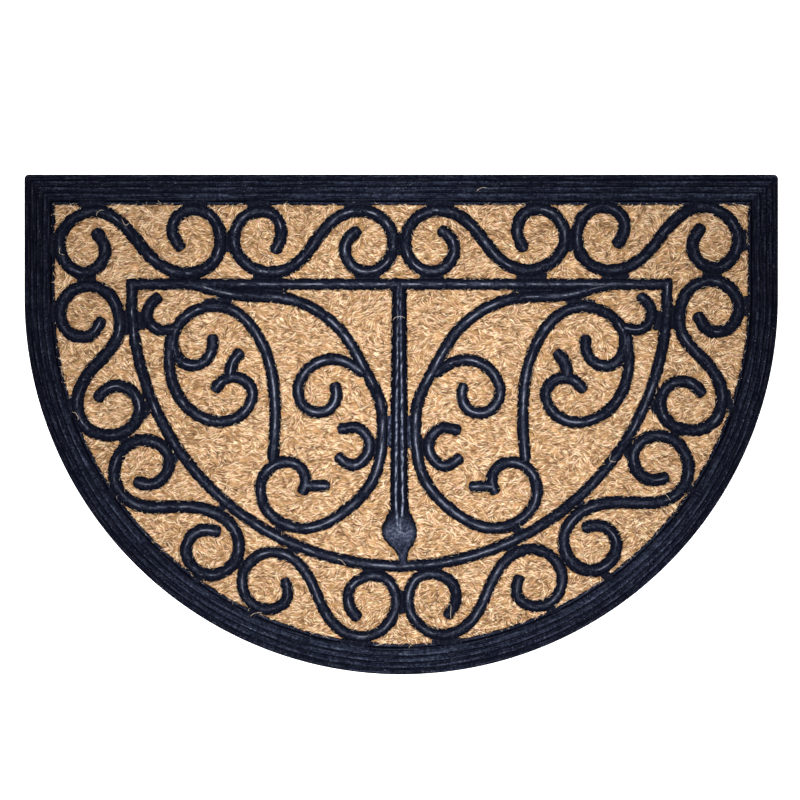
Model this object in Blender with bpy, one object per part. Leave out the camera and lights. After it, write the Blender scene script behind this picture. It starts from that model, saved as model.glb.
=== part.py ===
"""A half-round doormat: a rubber tray and its scrollwork in one moulding, over one mat of coir.

Metres, +Z up. The mat lies on Z = 0 with its straight edge towards +Y and its round side
towards -Y. Sizes below are in millimetres. A place in the pattern is given as it is drawn:
"across" from the middle line, with left negative, and "down" from the straight edge. The
tables hold the left half. The right half mirrors it, and each copy lies a little off its place.
"""

from math import ceil, cos, pi, radians, sin

import bmesh
import bpy
import numpy as np

MM = 0.001

# Outline: a rectangle SIDE deep that ends in a half circle
WIDTH = 600.0
SIDE = 98.0
DEPTH = SIDE + WIDTH / 2
CORNER = 3.5
LEAST_CORNER = 0.5
ARC_STEPS = 48
CORNER_STEPS = 2

# Levels above the floor
BACKING_TOP = 2.0
CLEARANCE = 0.3
BEAD_FOOT = 6.0
BEAD_CREST = 9.6
WEB_TOP = 7.0

# Border: four treads that step up towards the middle, then a low lip along the coir
TREAD_EDGES = (0.0, 5.0, 10.0, 15.0, 21.5)
FIRST_TREAD_HEIGHT = 4.8
TREAD_RISE = 1.0
DRAFT = 0.4
LIP_HEIGHT = 6.6
LIP_EDGE = 24.0

# Half-round bead: share of its width across, share of its height up. Its line has a section
# at least every MOST_TURN of bend, and at least every LONGEST_STEP.
BEAD_SECTION = ((-0.5, 0.0), (-0.38, 0.66), (0.0, 1.0), (0.38, 0.66), (0.5, 0.0))
TIP_LENGTH = 3.0
TIP_SHARE = 0.5
MOST_TURN = radians(24)
LONGEST_STEP = 24.0
SHARP_EDGE = radians(50)

# Inner frame: a closed bead that follows the outline, a little off its middle
FRAME_INSET = 87.25
FRAME_BAR_DROP = -0.5
FRAME_WIDTH = 8.6
FRAME_MOVE = (-1.5, 0.75)

# Scrolls of the left half: bead width, then a knot for each turn of the curve (across, down)
SCROLLS = {
    "corner": (9.5, (
        (-242.5, 47), (-235.7, 61), (-240, 72.5), (-252, 78.8), (-269.5, 67), (-271, 50),
        (-257.5, 34), (-240, 30.3), (-220.5, 42), (-212, 51.5), (-200, 66), (-175, 79),
        (-152, 72), (-144.5, 52), (-152, 34), (-168, 29), (-181, 38), (-181.5, 50), (-176.5, 58),
    )),
    "top": (9.5, (
        (-99.5, 60.5), (-95, 48), (-101, 33), (-115, 30), (-130, 41), (-132, 59), (-118, 75),
        (-98, 78.3), (-80, 69), (-61, 45), (-44, 31.7), (-24, 30.7), (-9, 42), (-5.5, 58),
        (-14, 74), (-30, 78), (-43, 67), (-43, 54), (-35, 46),
    )),
    "side": (9.5, (
        (-238.5, 115.5), (-246.5, 126.5), (-262, 126), (-271, 111), (-266, 95), (-250, 87),
        (-232.3, 93), (-223.6, 112), (-223.4, 124), (-230.6, 138), (-245.5, 154), (-257, 178),
        (-250, 201), (-232, 207.5), (-214, 201), (-207, 184), (-215, 171), (-230, 168.5),
        (-240.3, 177),
    )),
    "lower": (9.5, (
        (-210, 244), (-200, 246), (-187, 238), (-184.9, 222), (-197, 211), (-216, 213),
        (-228, 230), (-226, 249), (-211, 262), (-190, 264.5), (-158, 266.3), (-138, 276.5),
        (-128.7, 294), (-134.5, 312.5), (-153, 320.2), (-168, 311), (-170.5, 294), (-159, 284),
        (-146.5, 285),
    )),
    "bottom": (8.5, (
        (-91.5, 323.5), (-90.3, 336.5), (-105, 345.5), (-121, 338), (-126, 321), (-114, 303),
        (-97, 300), (-81, 309), (-65.8, 335), (-49, 360), (-30, 366.5), (-12, 357), (-5, 338),
        (-13, 321), (-28, 319), (-41, 330), (-39.5, 344), (-35, 350.5),
    )),
    "swoop": (8.8, (
        (-155, 88), (-135, 96.3), (-105, 97.8), (-85, 100.8), (-63, 111), (-44.5, 128),
        (-28, 156), (-15.8, 182), (-14, 207), (-20.8, 242), (-44, 268.5), (-75, 282),
        (-103, 271), (-111, 252), (-105.3, 236), (-93, 229.4), (-80, 233), (-75, 246), (-77, 252),
    )),
    "branch": (8.8, (
        (-28, 160), (-41, 150), (-58, 147.6), (-74, 156), (-81.5, 173), (-73, 188), (-57, 188),
        (-50, 175), (-50.5, 170),
    )),
    "hook": (8.8, (
        (-48, 203), (-36, 201), (-26, 209), (-26, 223), (-37, 232), (-48.5, 226.3),
    )),
    "stem": (8.8, (
        (-104, 232), (-101, 210), (-99.8, 180), (-103.6, 150), (-116.5, 122), (-130, 109),
        (-150, 104.5), (-170, 112), (-180, 125), (-181, 138), (-172, 151), (-157, 150),
        (-149, 138), (-148.5, 131),
    )),
    "leaf": (8.8, (
        (-183, 128), (-184.4, 150), (-174, 180), (-158, 193), (-138, 196), (-121, 185),
        (-117.8, 170), (-128, 161), (-141, 163), (-147, 169),
    )),
    "crown": (9.6, ((-136, 160), (-135, 154), (-133, 149), (-128.7, 144))),
    "tendril": (8.8, ((-181, 123), (-190, 124.5), (-201, 116), (-199, 104), (-194, 99))),
    "stub": (8.4, ((-75, 248.2), (-59.5, 248.2))),
}

# How each scroll's copies lie: size against the drawing, then for the left and for the right
# copy a move across and down and a turn in degrees about the middle of its knots
LIE = {
    "corner": (1.005, (0.5, -0.5, 0.0), (-4.5, -3.5, 1.0)),
    "top": (0.995, (-0.5, -0.5, 0.0), (-2.5, -1.5, 1.0)),
    "side": (0.985, (-0.5, 1.0, 0.0), (-2.0, -3.0, 0.5)),
    "lower": (0.98, (0.0, 0.0, -1.0), (0.0, -3.5, -1.0)),
    "bottom": (1.0, (-0.5, 1.0, 0.5), (2.0, -1.0, 1.0)),
    "swoop": (1.0, (-1.0, -0.5, 0.0), (-2.5, -0.5, -0.5)),
    "branch": (0.96, (-2.0, -0.5, -5.5), (-1.5, 0.0, -6.0)),
    "hook": (0.97, (-0.5, 0.0, 4.0), (-3.0, 0.5, 2.0)),
    "stem": (0.96, (-1.0, -1.5, -3.0), (-2.5, -1.0, -3.0)),
    "leaf": (0.98, (-0.5, 1.0, -0.5), (-3.0, 1.5, -0.5)),
    "crown": (1.0, (0.0, -1.5, 0.0), (-4.0, -1.0, 0.0)),
    "tendril": (1.0, (-0.5, -0.5, 2.0), (-2.5, -1.0, 2.0)),
    "stub": (1.0, (-0.5, -0.5, 0.0), (-2.5, 0.0, 0.0)),
}

# Centre post and its finial: down, across to its middle, half width, half the distance between
# its two ridges. The valley between them is a share of that distance deep.
POST_ROWS = (
    (86.0, -1.3, 6.0, 1.1),
    (266.0, -1.3, 7.4, 2.7),
    (272.0, -1.3, 9.0, 2.0),
    (278.0, -1.3, 12.6, 1.2),
    (285.0, -1.3, 14.0, 0.8),
    (292.0, -0.7, 11.6, 0.8),
    (298.0, 0.2, 6.8, 0.8),
    (304.0, 1.4, 3.8, 0.8),
    (311.0, 1.5, 3.4, 0.8),
)
POST_VALLEY_SHARE = 0.22
POST_SHOULDER = 0.74

# Flat webs that fill the wedge where two beads, or a bead and the border, come together:
# across, down, heading in degrees from the straight edge, half length, for each scroll whose
# copies they move with
WEBS = {
    "corner": (
        (-246.0, 24.3, 0, 11), (-276.0, 57.0, 90, 9), (-251.0, 83.0, 0, 8), (-165.0, 24.0, 0, 10),
        (-174.0, 83.4, 0, 11), (-138.8, 55.0, 90, 8),
    ),
    "top": (
        (-113.0, 24.3, 0, 9), (-106.0, 83.0, 0, 12), (-34.0, 24.5, 0, 11), (-26.0, 82.8, 0, 10),
    ),
    "side": (
        (-276.0, 108.0, 90, 8), (-218.2, 116.0, 90, 10), (-262.5, 184.0, 108, 10),
        (-201.5, 186.0, 114, 8), (-220.5, 210.0, 28, 8),
    ),
    "lower": (
        (-180.5, 226.0, 126, 9), (-230.5, 252.0, 124, 10), (-143.0, 267.5, 140, 9),
        (-161.5, 322.5, 144, 10), (-128.5, 310.5, 64, 8),
    ),
    "bottom": (
        (-87.0, 299.0, 157, 12), (-116.0, 347.2, 155, 11), (-34.0, 371.6, 173, 12),
        (-22.0, 314.5, 174, 9),
    ),
    "swoop": ((-95.0, 282.5, 153, 11), (-8.2, 207.0, 90, 10), (-120.0, 92.4, 0, 30)),
    "hook": ((-19.2, 216.0, 90, 7),),
    "stem": ((-207.2, 113.0, 90, 8), (-143.0, 100.7, 175, 12)),
}
MIDDLE_WEBS = ((-1.5, 56.0, 90, 8), (0.4, 340.5, 90, 9))
WEB_HALF_WIDTH = 3.6


def on_mat(across, down):
    """Pattern millimetres as metres in the part's frame."""
    return np.stack([np.asarray(across) * MM, (DEPTH / 2 - np.asarray(down)) * MM], axis=-1)


def half_round(inset, bar_drop=0.0):
    """The outline drawn in by inset: back edge, corners, sides and half circle, anticlockwise."""
    reach = WIDTH / 2 - inset
    back = inset + bar_drop
    corner = max(CORNER - inset, LEAST_CORNER)
    turn = np.linspace(0, pi / 2, CORNER_STEPS + 1)
    left = np.stack([-reach + corner * (1 - np.sin(turn)), back + corner * (1 - np.cos(turn))], 1)
    swing = np.linspace(pi, 0, ARC_STEPS + 1)
    arc = np.stack([reach * np.cos(swing), SIDE + reach * np.sin(swing)], 1)
    outline = np.concatenate([left, arc, left[::-1] * (-1, 1)])
    return on_mat(outline[:, 0], outline[:, 1])


def settle(name, side, points):
    """Points drawn with a scroll, as its left (side 1) or right (side -1) copy lies."""
    size, *copies = LIE[name]
    move_across, move_down, turn_deg = copies[0 if side == 1 else 1]
    turn = radians(turn_deg)
    middle = np.mean(SCROLLS[name][1], axis=0)
    spin = size * np.array([[cos(turn), sin(turn)], [-sin(turn), cos(turn)]])
    return ((points - middle) @ spin + middle) * (side, 1) + (move_across, move_down)


def smooth_line(knots):
    """A natural cubic spline through the knots, by chord length, as a function of distance."""
    points = np.array(knots, float)
    if len(points) == 2:
        length = np.hypot(*(points[1] - points[0]))
        return lambda s: points[0] + (points[1] - points[0]) * s[:, None] / length, length
    at = np.concatenate([[0.0], np.cumsum(np.hypot(*np.diff(points, axis=0).T))])
    gap = np.diff(at)
    inner = np.arange(1, len(points) - 1)
    matrix = np.eye(len(points))
    right = np.zeros_like(points)
    matrix[inner, inner - 1] = gap[:-1]
    matrix[inner, inner] = 2 * (gap[:-1] + gap[1:])
    matrix[inner, inner + 1] = gap[1:]
    slopes = np.diff(points, axis=0) / gap[:, None]
    right[inner] = 6 * np.diff(slopes, axis=0)
    bend = np.linalg.solve(matrix, right)

    def place(s):
        i = np.clip(np.searchsorted(at, s, side="right") - 1, 0, len(gap) - 1)
        before, after, h = (s - at[i])[:, None], (at[i + 1] - s)[:, None], gap[i][:, None]
        curved = (bend[i] * after**3 + bend[i + 1] * before**3) / (6 * h)
        return curved + (points[i] / h - bend[i] * h / 6) * after + (
            points[i + 1] / h - bend[i + 1] * h / 6
        ) * before

    return place, at[-1]


def stations(knots):
    """Points along the line, closer together where it turns, and the unit headings there."""
    place, length = smooth_line(knots)
    fine = np.linspace(0, length, ceil(length) * 2)
    line = place(fine)
    heading = np.gradient(line, fine, axis=0)
    heading /= np.hypot(*heading.T)[:, None]
    turning = np.hypot(*np.gradient(heading, fine, axis=0).T)
    density = turning / MOST_TURN + 1 / LONGEST_STEP
    cost = np.concatenate([[0.0], np.cumsum((density[1:] + density[:-1]) / 2 * np.diff(fine))])
    stops = np.interp(np.linspace(0, cost[-1], ceil(cost[-1]) + 1), cost, fine)
    pick = np.stack([np.interp(stops, fine, heading[:, axis]) for axis in (0, 1)], axis=1)
    return place(stops), pick / np.hypot(*pick.T)[:, None]


def loft(name, rings, wrap=False):
    """A closed mesh from rings of points: neighbouring rings joined, the end rings capped."""
    rings = np.asarray(rings, float)
    count, around = rings.shape[:2]
    index = np.arange(count * around).reshape(count, around)
    if wrap:
        index = np.concatenate([index, index[:1]])
    following = np.roll(index, -1, axis=1)
    quads = np.stack([index[:-1], following[:-1], following[1:], index[1:]], axis=-1)
    faces = quads.reshape(-1, 4).tolist()
    if not wrap:
        faces += [index[0].tolist(), index[-1].tolist()]
    mesh = bpy.data.meshes.new(name)
    mesh.from_pydata(rings.reshape(-1, 3).tolist(), [], faces)
    shape = bmesh.new()
    shape.from_mesh(mesh)
    bmesh.ops.recalc_face_normals(shape, faces=shape.faces)
    shape.to_mesh(mesh)
    shape.free()
    mesh.shade_smooth()
    mesh.set_sharp_from_angle(angle=SHARP_EDGE)
    return bpy.data.objects.new(name, mesh)


def at_height(points, height_mm):
    """Flat points lifted to one height, or to a height each."""
    height = np.broadcast_to(np.asarray(height_mm, float) * MM, points.shape[:-1])
    return np.concatenate([points, height[..., None]], axis=-1)


def tray():
    """Backing, stepped border and lip, lofted through concentric outlines."""
    section = [(0.0, 0.0)]
    for step, (outer, inner) in enumerate(zip(TREAD_EDGES[:-1], TREAD_EDGES[1:])):
        height = FIRST_TREAD_HEIGHT + step * TREAD_RISE
        section += [(outer + (DRAFT if step else 0.0), height), (inner, height)]
    section += [(TREAD_EDGES[-1] + DRAFT, LIP_HEIGHT), (LIP_EDGE, LIP_HEIGHT)]
    section += [(LIP_EDGE, BACKING_TOP)]
    return loft("rubber_moulding", [at_height(half_round(i), h) for i, h in section])


def frame_bead():
    """The inner frame line, its five edges run round as closed concentric outlines."""
    rings = []
    for across, up in BEAD_SECTION:
        outline = half_round(FRAME_INSET + across * FRAME_WIDTH, FRAME_BAR_DROP)
        outline += np.array((FRAME_MOVE[0], -FRAME_MOVE[1])) * MM
        rings.append(at_height(outline, BEAD_FOOT + up * (BEAD_CREST - BEAD_FOOT)))
    return loft("frame_bead", rings, wrap=True)


def scroll_bead(name, side):
    """A half-round bead swept along its line, with a short drawn-in tip at each end."""
    width, knots = SCROLLS[name]
    line, heading = stations(settle(name, side, knots))
    line = np.concatenate([
        line[:1] - TIP_LENGTH * heading[:1], line, line[-1:] + TIP_LENGTH * heading[-1:]
    ])
    heading = np.concatenate([heading[:1], heading, heading[-1:]])
    share = np.ones(len(line))
    share[[0, -1]] = TIP_SHARE
    normal = np.stack([-heading[:, 1], heading[:, 0]], axis=1)
    across, up = np.array(BEAD_SECTION).T
    offset = (width * share)[:, None] * across
    places = line[:, None, :] + normal[:, None, :] * offset[..., None]
    height = BEAD_FOOT + (BEAD_CREST - BEAD_FOOT) * share[:, None] * up
    return loft(name, at_height(on_mat(places[..., 0], places[..., 1]), height))


def post():
    """The centre post with its two ridges, swelling into the finial over the frame line."""
    rings = []
    rise = BEAD_CREST - BEAD_FOOT
    for down, middle, half, ridge in POST_ROWS:
        shoulder = half * POST_SHOULDER
        valley = 1.0 - POST_VALLEY_SHARE * ridge / rise
        across = np.array([-half, -shoulder, -ridge, 0.0, ridge, shoulder, half])
        up = np.array([0.0, POST_SHOULDER, 1.0, valley, 1.0, POST_SHOULDER, 0.0])
        place = on_mat(middle + across, np.full(len(up), down))
        rings.append(at_height(place, BEAD_FOOT + rise * up))
    return loft("post", rings)


def web(ends):
    """A flat plate under the beads, along the line between its two ends."""
    along = (ends[1] - ends[0]) / np.hypot(*(ends[1] - ends[0])) * WEB_HALF_WIDTH
    aside = np.array((-along[1], along[0]))
    outline = np.array([ends[0] - aside, ends[1] - aside, ends[1] + aside, ends[0] + aside])
    flat = on_mat(outline[:, 0], outline[:, 1])
    return loft("web", [at_height(flat, BEAD_FOOT), at_height(flat, WEB_TOP)])


def web_ends(across, down, heading_deg, half_length):
    """The two ends of a web's middle line, as drawn."""
    reach = np.array((cos(radians(heading_deg)), sin(radians(heading_deg)))) * half_length
    return np.array([(across, down) - reach, (across, down) + reach])


def coir_mat():
    """One flat sheet that fills the tray, under the beads."""
    outline = half_round(LIP_EDGE + CLEARANCE)
    levels = (BACKING_TOP + CLEARANCE, BEAD_FOOT - CLEARANCE)
    return loft("coir_mat", [at_height(outline, level) for level in levels])


def finish(name, colour, roughness):
    """A plain material for one piece."""
    material = bpy.data.materials.new(name)
    material.use_nodes = True
    shader = material.node_tree.nodes["Principled BSDF"]
    shader.inputs["Base Color"].default_value = (*colour, 1.0)
    shader.inputs["Roughness"].default_value = roughness
    shader.inputs["Metallic"].default_value = 0.0
    return material


def raised_work():
    """Every bead, web and post of the moulding, left and right."""
    pieces = [frame_bead(), post()]
    for side in (1, -1):
        pieces += [scroll_bead(name, side) for name in SCROLLS]
        pieces += [web(settle(name, side, web_ends(*row))) for name in WEBS for row in WEBS[name]]
    pieces += [web(web_ends(*row)) for row in MIDDLE_WEBS]
    return pieces


for old in list(bpy.data.objects):
    bpy.data.objects.remove(old)

moulding = tray()
bpy.context.scene.collection.objects.link(moulding)
moulding.data.materials.append(finish("moulded rubber", (0.011, 0.013, 0.021), 0.55))

helpers = bpy.data.collections.new("raised work")
bpy.context.scene.collection.children.link(helpers)
for piece in raised_work():
    helpers.objects.link(piece)
    piece.hide_render = True
    piece.display_type = "WIRE"
joined = moulding.modifiers.new("scrollwork", "BOOLEAN")
joined.operation = "UNION"
joined.solver = "EXACT"
joined.operand_type = "COLLECTION"
joined.collection = helpers

coir = coir_mat()
bpy.context.scene.collection.objects.link(coir)
coir.data.materials.append(finish("coir", (0.58, 0.36, 0.16), 0.95))
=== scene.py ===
"""A half-round doormat as it is finished: black rubber scrollwork moulded over a mat of coir.

Metres, +Z up, with the straight edge towards +Y. Sizes are in millimetres unless a name says
otherwise. A place on the mat is "across" from the middle line, with left negative, and "down"
from the straight edge. Tables hold the left half. The right half mirrors it, and each copy of
a scroll lies a little off its place.
"""

from math import ceil, cos, pi, radians, sin

import bpy
import numpy as np
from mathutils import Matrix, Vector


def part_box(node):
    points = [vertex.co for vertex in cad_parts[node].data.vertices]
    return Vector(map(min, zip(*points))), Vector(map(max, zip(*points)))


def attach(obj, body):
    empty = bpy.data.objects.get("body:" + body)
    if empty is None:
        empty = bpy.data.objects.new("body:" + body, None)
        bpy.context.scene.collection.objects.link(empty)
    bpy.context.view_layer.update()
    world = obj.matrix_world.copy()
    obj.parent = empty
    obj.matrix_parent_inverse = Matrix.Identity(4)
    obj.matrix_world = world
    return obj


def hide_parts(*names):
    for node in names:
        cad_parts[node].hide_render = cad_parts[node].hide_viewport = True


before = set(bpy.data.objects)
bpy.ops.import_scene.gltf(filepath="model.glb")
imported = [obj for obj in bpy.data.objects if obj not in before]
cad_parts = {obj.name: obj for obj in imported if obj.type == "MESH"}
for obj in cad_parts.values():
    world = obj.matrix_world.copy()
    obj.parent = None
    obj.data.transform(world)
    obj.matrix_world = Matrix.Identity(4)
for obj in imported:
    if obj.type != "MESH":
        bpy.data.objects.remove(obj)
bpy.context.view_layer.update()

# Rubber tray: the backing, the stepped border and the lip along the coir, in one pressing.
# Black rubber, pressed hot in a milled steel mould that leaves fine cutter lines along every
# tread. It lies on the floor with its whole back, and the lip holds the coir all round.

MM = 0.001
tray_low, tray_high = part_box("rubber_moulding")
WIDTH = (tray_high.x - tray_low.x) / MM
DEPTH = (tray_high.y - tray_low.y) / MM
SIDE = DEPTH - WIDTH / 2
CREST = tray_high.z / MM
CORNER = 3.5
LEAST_CORNER = 0.5
BACKING_TOP = 2.0
TREADS = ((0.0, 4.8), (5.0, 5.8), (10.0, 6.8), (15.0, 7.8))  # where each starts, its height
TREADS_END = 21.5
LIP_HEIGHT = 6.6
LIP_EDGE = 24.0
CUTTER_PITCH = 1.55
CUTTER_DEPTH = 0.15
GROOVE_DEPTH = 0.5
SECTION_STEP = 0.46
# Painted light: the grey of each tread and of the lip.
TREAD_PAINTED_LIGHT, LIP_PAINTED_LIGHT = (0.27, 0.31, 0.34, 0.35), 0.32
# Painted light: the border is painted brighter along the bar and towards the round end than down
# the sides.
BAR_PAINTED_LIGHT, SIDE_PAINTED_LIGHT, ROUND_PAINTED_LIGHT = 1.02, 0.78, 0.5
FLASH_WIDTH, FLASH_TEETH, FLASH_LUMPS = 0.65, 0.22, 0.24
EDGE_STEPS, CORNER_STEPS, SIDE_STEPS, ARC_STEPS = 110, 4, 26, 160


def on_mat(across, down, height):
    """Pattern millimetres as metres: x = across, y = half the depth - down, z = height."""
    across, down, height = np.broadcast_arrays(across, down, height)
    return np.stack([across, DEPTH / 2 - down, height], axis=-1) * MM


def half_round(inset, bar_drop=0.0):
    """The mat's outline drawn in by each inset of a column, from the middle of the straight edge
    round by the right: a straight edge, a corner of a quarter circle, a straight side, and the
    half circle across^2 + (down - SIDE)^2 = (WIDTH / 2 - inset)^2. The left mirrors it."""
    inset = np.reshape(inset, (-1, 1))
    reach = WIDTH / 2 - inset
    corner = np.maximum(CORNER - inset, LEAST_CORNER)
    back = inset + bar_drop
    edge = np.linspace(0, 1, EDGE_STEPS, endpoint=False)
    turn = np.linspace(0, pi / 2, CORNER_STEPS, endpoint=False)
    fall = np.linspace(0, 1, SIDE_STEPS, endpoint=False)
    swing = np.linspace(0, pi / 2, ARC_STEPS + 1)
    across = np.concatenate([
        (reach - corner) * edge, reach - corner * (1 - np.sin(turn)), reach + 0 * fall,
        reach * np.cos(swing),
    ], axis=1)
    down = np.concatenate([
        back + 0 * edge, back + corner * (1 - np.cos(turn)),
        back + corner + (SIDE - back - corner) * fall, SIDE + reach * np.sin(swing),
    ], axis=1)
    left = slice(-2, 0, -1)
    return (
        np.concatenate([across, -across[:, left]], axis=1),
        np.concatenate([down, down[:, left]], axis=1),
    )


def wander(across, down, size, seed, waves=14):
    """Smooth lumps of about `size` mm with a spread of 1: the sum of plane waves
    cos(k . place + phase), of random heading, length and phase, over sqrt(waves / 2)."""
    draw = np.random.default_rng(seed)
    heading = draw.uniform(0, 2 * pi, waves)
    rate = 2 * pi / (2 * size * draw.uniform(0.7, 1.8, waves))
    phase = draw.uniform(0, 2 * pi, waves)
    total = 0.0
    for turn, k, start in zip(heading, rate, phase):
        total = total + np.cos(k * (np.cos(turn) * across + np.sin(turn) * down) + start)
    return total / np.sqrt(waves / 2)


def shell(grid, ring=False):
    """Faces over a grid of points (rows, around, 3) whose rows each close on themselves. The
    rows close into a ring, or the first and last are capped. They are turned to face out, where
    the sum of a . (b x c) over the triangles, six times the volume, is positive."""
    rows, around = grid.shape[:2]
    index = np.arange(rows * around).reshape(rows, around)
    if ring:
        index = np.concatenate([index, index[:1]])
    beside = np.roll(index, -1, axis=1)
    quads = np.stack([index[:-1], beside[:-1], beside[1:], index[1:]], axis=-1).reshape(-1, 4)
    points = grid.reshape(-1, 3) - grid.reshape(-1, 3).mean(axis=0)
    a, b, c, d = points[quads].transpose(1, 0, 2)
    volume = np.sum(a * (np.cross(b, c) + np.cross(c, d)))
    caps = [] if ring else [index[0][::-1], index[-1]]
    for cap in caps:
        rim = points[cap]
        volume += np.sum(rim.mean(axis=0) * np.cross(rim, np.roll(rim, -1, axis=0)))
    faces = quads.tolist() + [cap.tolist() for cap in caps]
    return faces if volume > 0 else [face[::-1] for face in faces]


def make_piece(name, shells, material, **marks):
    """One smooth-shaded object at the origin from closed shells, each (grid, ring), with a
    number at every point for each mark, which the material reads by that name."""
    points, faces, start = [], [], 0
    for grid, ring in shells:
        points.append(grid.reshape(-1, 3))
        faces += [[start + corner for corner in face] for face in shell(grid, ring)]
        start += len(points[-1])
    mesh = bpy.data.meshes.new(name)
    mesh.from_pydata(np.concatenate(points), [], faces)
    mesh.shade_smooth()
    for mark, values in marks.items():
        layer = mesh.attributes.new(mark, "FLOAT", "POINT")
        layer.data.foreach_set("value", np.concatenate([np.ravel(v) for v in values]))
    mesh.materials.append(material)
    piece = bpy.data.objects.new(name, mesh)
    bpy.context.scene.collection.objects.link(piece)
    return piece


def linear(colour):
    """sRGB hex to linear RGBA: ((c + 0.055) / 1.055) ** 2.4, or c / 12.92 up to 0.04045."""
    parts = np.array([int(colour[i:i + 2], 16) for i in (0, 2, 4)]) / 255
    parts = np.where(parts > 0.04045, ((parts + 0.055) / 1.055) ** 2.4, parts / 12.92)
    return (*parts.tolist(), 1.0)


def join_inputs(tree, node, inputs):
    """Links each input of a node, or gives it a value."""
    for name, value in inputs.items():
        if isinstance(value, bpy.types.NodeSocket):
            tree.links.new(value, node.inputs[name])
        else:
            node.inputs[name].default_value = value


def add_node(tree, kind, inputs=None, **settings):
    """Adds one node, with its settings and inputs."""
    node = tree.nodes.new(kind)
    for name, value in settings.items():
        setattr(node, name, value)
    join_inputs(tree, node, inputs or {})
    return node


def moulded_rubber():
    """Black tyre rubber straight from the mould, unpainted. Its grey mark runs from cold black to
    grey: dust, and painted light and shade, with painted highlights along crests and ridges. It
    is mottled, and speckled with grit where it runs high. "polish" runs from matt to the satin of
    a rubbed crest. The grit and the mould's grain are drawn about 1 mm wide, coarser than real,
    to show."""
    material = bpy.data.materials.new("moulded black rubber, matt with satin crests")
    material.use_nodes = True
    tree = material.node_tree
    place = add_node(tree, "ShaderNodeTexCoord").outputs["Object"]
    bloom = add_node(tree, "ShaderNodeAttribute", attribute_name="bloom").outputs["Fac"]
    polish = add_node(tree, "ShaderNodeAttribute", attribute_name="polish").outputs["Fac"]
    mottle = add_node(tree, "ShaderNodeTexNoise", {
        "Vector": place, "Scale": 1 / (2.2 * MM), "Detail": 3.0, "Roughness": 0.65,
    })
    uneven = add_node(tree, "ShaderNodeMapRange", {
        "Value": mottle.outputs["Fac"], "From Min": 0.3, "From Max": 0.7,
        "To Min": 0.45, "To Max": 1.5,
    })
    mottled_dust_and_painted_light = add_node(tree, "ShaderNodeMath", {0: uneven.outputs["Result"], 1: bloom},
                    operation="MULTIPLY")
    grey = add_node(tree, "ShaderNodeValToRGB", {"Fac": mottled_dust_and_painted_light.outputs["Value"]})
    stops = grey.color_ramp.elements
    for number, colour in enumerate(("020206", "0D0F18", "262A37", "484C5A", "6E727D")):
        stop = stops[number] if number < 2 else stops.new(number / 4)
        stop.position = number / 4
        stop.color = linear(colour)
    patch = add_node(tree, "ShaderNodeTexNoise", {
        "Vector": place, "Scale": 1 / (12 * MM), "Detail": 2.0, "Roughness": 0.5,
    })
    cast = add_node(tree, "ShaderNodeMix", {
        "Factor": patch.outputs["Fac"], "A": linear("F4ECFF"), "B": linear("EBFBF6"),
    }, data_type="RGBA")
    tinted = add_node(tree, "ShaderNodeMix", {
        "Factor": 1.0, "A": grey.outputs["Color"], "B": cast.outputs["Result"],
    }, data_type="RGBA", blend_type="MULTIPLY")
    grit = add_node(tree, "ShaderNodeTexNoise", {
        "Vector": place, "Scale": 1 / (1.1 * MM), "Detail": 2.0, "Roughness": 0.5,
    })
    specks = add_node(tree, "ShaderNodeMapRange", {
        "Value": grit.outputs["Fac"], "From Min": 0.66, "From Max": 0.78,
    })
    caught = add_node(tree, "ShaderNodeMath", {0: specks.outputs["Result"], 1: bloom},
                      operation="MULTIPLY")
    specks_and_painted_light = add_node(tree, "ShaderNodeMix", {
        "Factor": caught.outputs["Value"], "A": tinted.outputs["Result"], "B": linear("90929C"),
    }, data_type="RGBA")
    matt = add_node(tree, "ShaderNodeMapRange", {"Value": polish, "To Min": 0.8, "To Max": 0.3})
    sheen = add_node(tree, "ShaderNodeMapRange", {"Value": polish, "To Min": 0.0, "To Max": 0.3})
    grain = add_node(tree, "ShaderNodeTexNoise", {
        "Vector": place, "Scale": 1 / (0.9 * MM), "Detail": 4.0, "Roughness": 0.65,
    })
    bump = add_node(tree, "ShaderNodeBump", {
        "Height": grain.outputs["Fac"], "Strength": 0.6, "Distance": 0.3 * MM,
    })
    join_inputs(tree, tree.nodes["Principled BSDF"], {
        "Base Color": specks_and_painted_light.outputs["Result"], "Roughness": matt.outputs["Result"],
        "Specular IOR Level": sheen.outputs["Result"], "Specular Tint": linear("DDE2F6"),
        "IOR": 1.52, "Normal": bump.outputs["Normal"],
    })
    return material


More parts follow.
